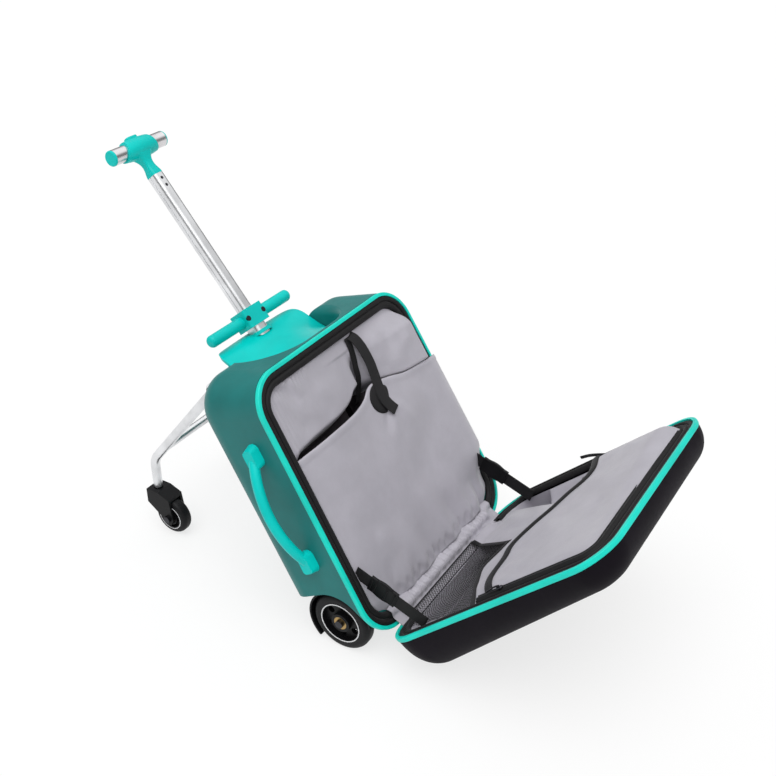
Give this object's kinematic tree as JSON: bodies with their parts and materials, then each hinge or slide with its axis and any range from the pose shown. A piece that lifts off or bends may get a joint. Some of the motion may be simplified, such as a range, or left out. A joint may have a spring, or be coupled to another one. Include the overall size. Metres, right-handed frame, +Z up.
{
  "type": "ride-on suitcase",
  "caption": "Ride-on child suitcase: open tilted hard shell with fabric-lined lid, saddle seat, telescopic T handle, hand bar, carry handle, rear wheels and folding caster legs.",
  "frame": {"origin": "bottom centre of the box around the standing part, lid open and handle drawn out, on the floor", "axes": "+X to the side with the carry handle, +Y to the rear towards the open lid, +Z up"},
  "size_m": [0.4494, 0.9269, 0.662],
  "materials": {
    "teal_shell": "satin moulded shell",
    "mint_plastic": "smooth satin-gloss moulding",
    "mint_piping": "soft satin piping",
    "grey_fabric": "satin woven lining",
    "black_fabric": "matt woven",
    "silver_tube": "satin anodised",
    "black_plastic": "fine-grained moulding",
    "black_tyre": "matt polyurethane",
    "dark_steel": "black oxide",
    "bearing_steel": "ground steel"
  },
  "bodies": {
    "case": {"shell": "teal_shell", "shell_piping": "mint_piping", "shell_zip_tape": "black_fabric", "shell_lining": "grey_fabric", "inner_back_panel": "black_plastic", "pocket_panel": "grey_fabric", "divider_strap": "black_fabric", "hinge_gusset": "grey_fabric", "seat": "mint_plastic", "leg_bracket_left": "black_plastic", "leg_bracket_right": "black_plastic", "leg_pivot_shaft": "dark_steel", "outer_tube": "silver_tube", "tube_foot": "black_plastic", "tube_bush": "black_plastic", "child_bar": "mint_plastic", "child_bar_screws": "dark_steel", "carry_handle": "mint_plastic", "carry_handle_ends": "mint_plastic", "mudguard_left": "black_plastic", "mudguard_right": "black_plastic", "rear_axle_bolts": "dark_steel", "side_strap_left": "black_fabric", "side_strap_right": "black_fabric", "buckle_left": "black_plastic", "buckle_right": "black_plastic"},
    "lid": {"lid_cover": "black_fabric", "lid_piping": "mint_piping", "lid_zip_tape": "black_fabric", "lid_lining": "grey_fabric", "mesh_pocket": "black_fabric", "zip_pocket": "grey_fabric", "slip_pocket": "grey_fabric"},
    "handle": {"inner_tube": "silver_tube", "t_grip": "mint_plastic", "grip_sleeves": "silver_tube", "grip_caps": "mint_plastic", "grip_screws": "dark_steel", "button_spring": "dark_steel"},
    "button": {"release_button": "mint_plastic"},
    "legs": {"leg_tube_left": "silver_tube", "leg_tube_right": "silver_tube", "crossbar": "silver_tube", "stem_bushes": "black_plastic"},
    "caster_left": {"caster_fork_left": "black_plastic", "caster_axle_left": "dark_steel"},
    "caster_wheel_left": {"caster_core_left": "black_plastic", "caster_tyre_left": "black_tyre", "caster_bearings_left": "bearing_steel"},
    "wheel_left": {"rear_core_left": "black_plastic", "rear_tyre_left": "black_tyre", "rear_bearings_left": "bearing_steel"},
    "caster_right": {"caster_fork_right": "black_plastic", "caster_axle_right": "dark_steel"},
    "caster_wheel_right": {"caster_core_right": "black_plastic", "caster_tyre_right": "black_tyre", "caster_bearings_right": "bearing_steel"},
    "wheel_right": {"rear_core_right": "black_plastic", "rear_tyre_right": "black_tyre", "rear_bearings_right": "bearing_steel"}
  },
  "joints": [
    {"name": "lid_hinge", "type": "hinge", "parent": "case", "child": "lid", "pos_m": [-0.01587, 0.13535, 0.05156], "axis": [1, 0, 0], "range_deg": [0, 77.2], "deforming": ["hinge_gusset", "side_strap_left", "side_strap_right"]},
    {"name": "handle_slide", "type": "slide", "parent": "case", "child": "handle", "axis": [0, -0.6414, 0.7672], "range_m": [-0.24, 0]},
    {"name": "button_press", "type": "slide", "parent": "handle", "child": "button", "axis": [0, 0.6414, -0.7672], "range_m": [0, 0.003], "stiffness_N_per_m": 600, "springref_m": -0.002, "deforming": ["button_spring"]},
    {"name": "leg_fold", "type": "hinge", "parent": "case", "child": "legs", "pos_m": [-0.01587, -0.22604, 0.33174], "axis": [1, 0, 0], "range_deg": [0, 55]},
    {"name": "caster_swivel_left", "type": "hinge", "parent": "legs", "child": "caster_left", "pos_m": [0.09713, -0.38153, 0.084], "axis": [0, 0, 1], "continuous": true},
    {"name": "caster_spin_left", "type": "hinge", "parent": "caster_left", "child": "caster_wheel_left", "pos_m": [0.09713, -0.35153, 0.033], "axis": [1, 0, 0], "continuous": true},
    {"name": "wheel_spin_left", "type": "hinge", "parent": "case", "child": "wheel_left", "pos_m": [0.17013, 0.05647, 0.05], "axis": [1, 0, 0], "continuous": true},
    {"name": "caster_swivel_right", "type": "hinge", "parent": "legs", "child": "caster_right", "pos_m": [-0.12887, -0.38153, 0.084], "axis": [0, 0, 1], "continuous": true},
    {"name": "caster_spin_right", "type": "hinge", "parent": "caster_right", "child": "caster_wheel_right", "pos_m": [-0.12887, -0.35153, 0.033], "axis": [1, 0, 0], "continuous": true},
    {"name": "wheel_spin_right", "type": "hinge", "parent": "case", "child": "wheel_right", "pos_m": [-0.20187, 0.05647, 0.05], "axis": [1, 0, 0], "continuous": true}
  ]
}
